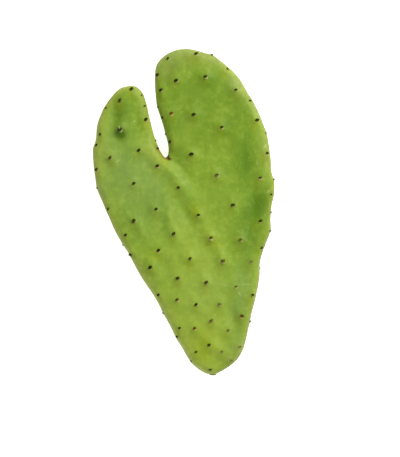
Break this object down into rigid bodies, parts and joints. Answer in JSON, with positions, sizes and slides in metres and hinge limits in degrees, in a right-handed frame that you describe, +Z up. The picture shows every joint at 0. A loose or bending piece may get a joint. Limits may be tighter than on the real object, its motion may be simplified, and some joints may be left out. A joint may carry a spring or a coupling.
{
  "type": "prickly pear cactus pad",
  "caption": "Fresh cut prickly pear cactus pad, heart-shaped with a deep notch between two lobes, with areoles in slanting rows on both faces; it lies flat.",
  "frame": {"origin": "centre of the pad's outline, on the surface that it rests on", "axes": "+Y from the cut base towards the tips, +Z up out of the front face, +X to the right as seen from the front"},
  "size_m": [0.1579, 0.2795, 0.026],
  "materials": {
    "pad_skin": "waxy satin plant skin, mid green with paler yellow-green edges and a thin grey bloom",
    "areole_wool": "short olive-brown felt, with pale cream and tan scars beside it",
    "bristles": "fine dark olive-brown bristles, and one ivory spine"
  },
  "bodies": {
    "root": {"pad": "pad_skin"}
  },
  "joints": []
}
